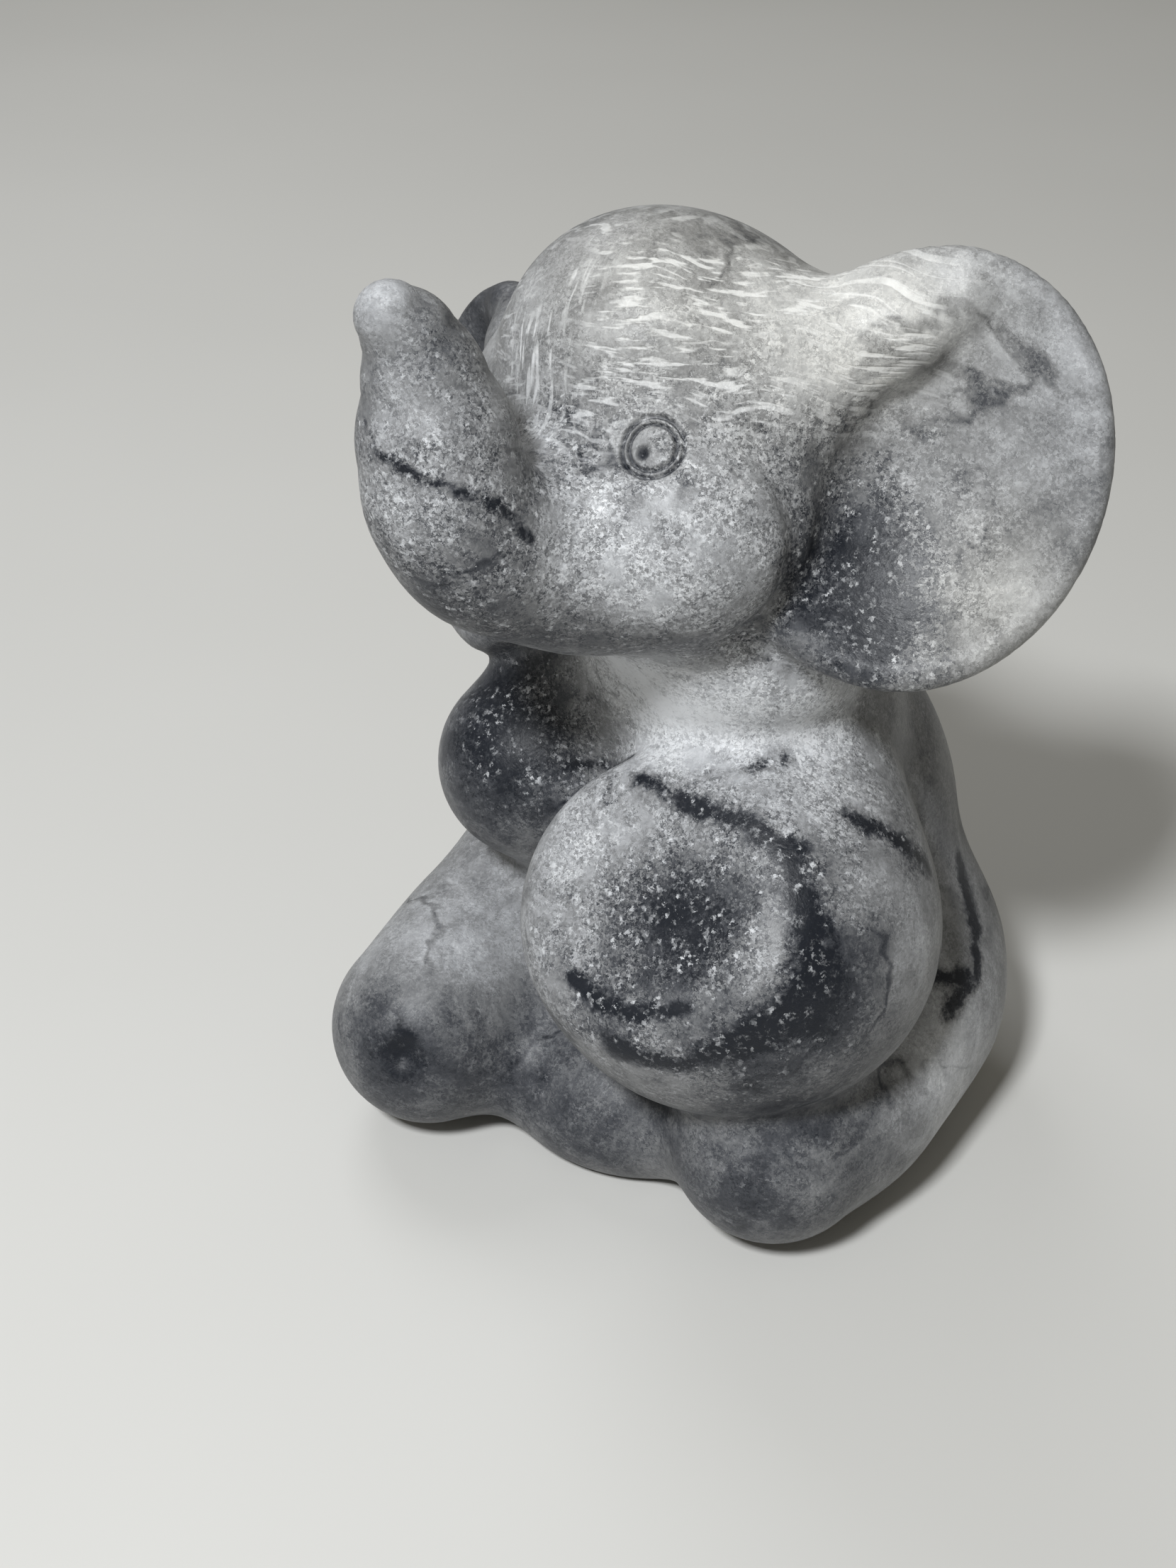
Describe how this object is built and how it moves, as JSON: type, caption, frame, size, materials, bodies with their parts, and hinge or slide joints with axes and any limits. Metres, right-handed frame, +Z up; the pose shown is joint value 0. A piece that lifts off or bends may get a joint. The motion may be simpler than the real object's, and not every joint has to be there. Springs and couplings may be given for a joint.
{
  "type": "stone elephant figurine",
  "caption": "Small carved elephant sitting upright with its trunk raised, ground flat underneath to stand on a shelf as an ornament.",
  "frame": {"origin": "middle of the bounding box, on the flat underside", "axes": "+Z up; the elephant faces -Y and its left side is +X"},
  "size_m": [0.0518, 0.0468, 0.0663],
  "materials": {
    "stone": "satin"
  },
  "bodies": {
    "root": {"elephant_carving": "stone"}
  },
  "joints": []
}
